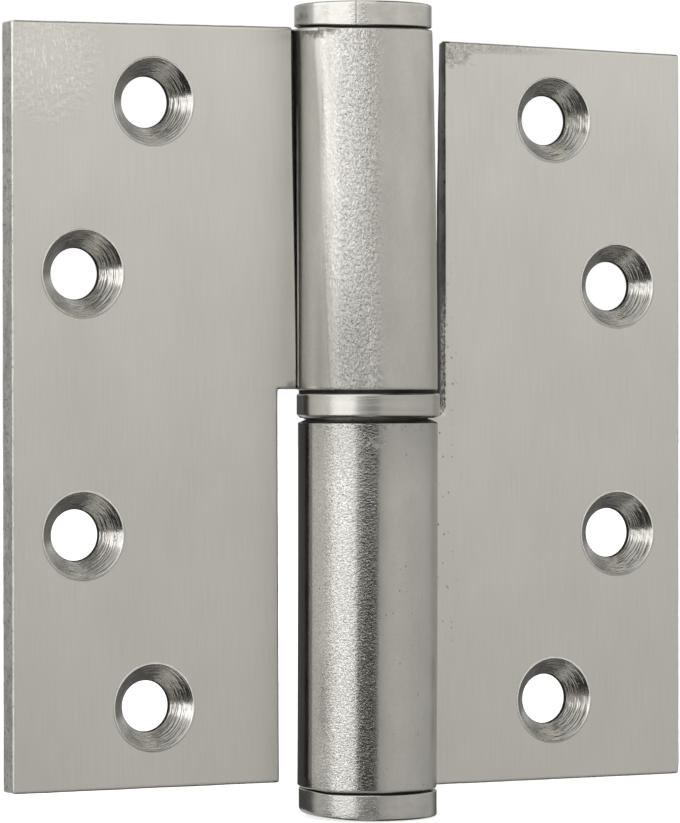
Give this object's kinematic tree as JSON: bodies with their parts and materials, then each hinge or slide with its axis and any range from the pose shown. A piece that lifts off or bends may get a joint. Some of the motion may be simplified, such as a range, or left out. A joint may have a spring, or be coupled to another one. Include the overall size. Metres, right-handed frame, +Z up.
{
  "type": "lift off hinge",
  "caption": "Lift-off door hinge in brushed stainless sheet: two L-shaped leaves with rolled knuckles, ball bearing ring, fixed pin and end caps, countersunk screw holes.",
  "frame": {"origin": "on the pin axis, half way between the outer faces of the two end caps", "axes": "+Z up along the pin, towards the knuckle that lifts off; +X across the leaves, towards the fixed leaf; the countersunk faces look along -Y; drawn open flat"},
  "size_m": [0.089, 0.017, 0.0958],
  "materials": {
    "brushed_leaf_upper": "brushed stainless sheet, fine upright lines, rolled knuckle left slightly uneven",
    "brushed_leaf_lower": "brushed stainless sheet, fine upright lines, knuckle finely brushed round",
    "ground_pin": "ground steel with a thin film of grease",
    "turned_cap": "turned and brushed stainless",
    "bearing_ring": "turned stainless, fine lines round the ring",
    "bearing_race": "hardened and ground",
    "cage_brass": "satin pressed sheet",
    "ball_steel": "polished"
  },
  "bodies": {
    "fixed_half": {"lower_leaf": "brushed_leaf_lower", "hinge_pin": "ground_pin", "bottom_cap": "turned_cap", "bearing_washer": "bearing_race"},
    "bearing_top": {"bearing_shell": "bearing_ring"},
    "lift_half": {"upper_leaf": "brushed_leaf_upper", "top_cap": "turned_cap"},
    "ball_set": {"ball_cage": "cage_brass", "bearing_balls": "ball_steel"}
  },
  "joints": [
    {"name": "leaf_turn", "type": "hinge", "parent": "fixed_half", "child": "bearing_top", "pos_m": [0, 0, 0.00065], "axis": [0, 0, 1], "range_deg": [-85, 180]},
    {"name": "lift_off", "type": "slide", "parent": "bearing_top", "child": "lift_half", "axis": [0, 0, 1], "range_m": [0, 0.042]},
    {"name": "ball_roll", "type": "hinge", "parent": "fixed_half", "child": "ball_set", "pos_m": [0, 0, 0.00055], "axis": [0, 0, 1], "range_deg": [-45, 95]}
  ],
  "couplings": [
    {"joint": "ball_roll", "follows": "leaf_turn", "ratio": 0.5}
  ]
}
